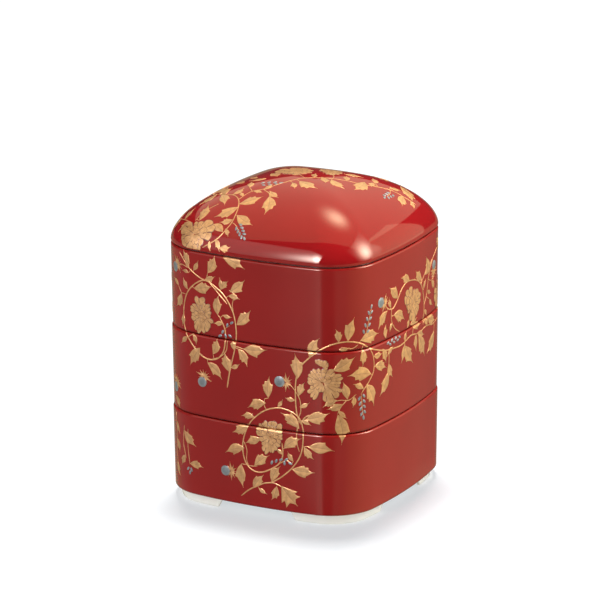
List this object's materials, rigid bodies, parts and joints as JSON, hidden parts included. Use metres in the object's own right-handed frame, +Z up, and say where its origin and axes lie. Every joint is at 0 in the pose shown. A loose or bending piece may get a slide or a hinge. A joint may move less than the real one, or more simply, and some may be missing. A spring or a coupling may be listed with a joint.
{
  "type": "tiered porcelain food box",
  "caption": "Stacking food box of glazed porcelain: square trays with bowed sides stand in one another's rims on corner feet, under a domed lift-off lid.",
  "frame": {"origin": "on the table, under the middle of the box", "axes": "+Z up through the middle of the box; -Y is the front"},
  "size_m": [0.135, 0.135, 0.1883],
  "materials": {
    "red_glaze": "glossy opaque red glaze over white porcelain",
    "white_porcelain": "glossy clear glaze on white porcelain, on the feet and inside",
    "gold_overglaze": "satin gold decoration, slightly raised",
    "silver_blue_overglaze": "satin blue-grey decoration on berries and buds"
  },
  "bodies": {
    "root": {"bottom_tier": "red_glaze", "middle_tier": "red_glaze", "top_tier": "red_glaze", "lid": "red_glaze"}
  },
  "joints": []
}
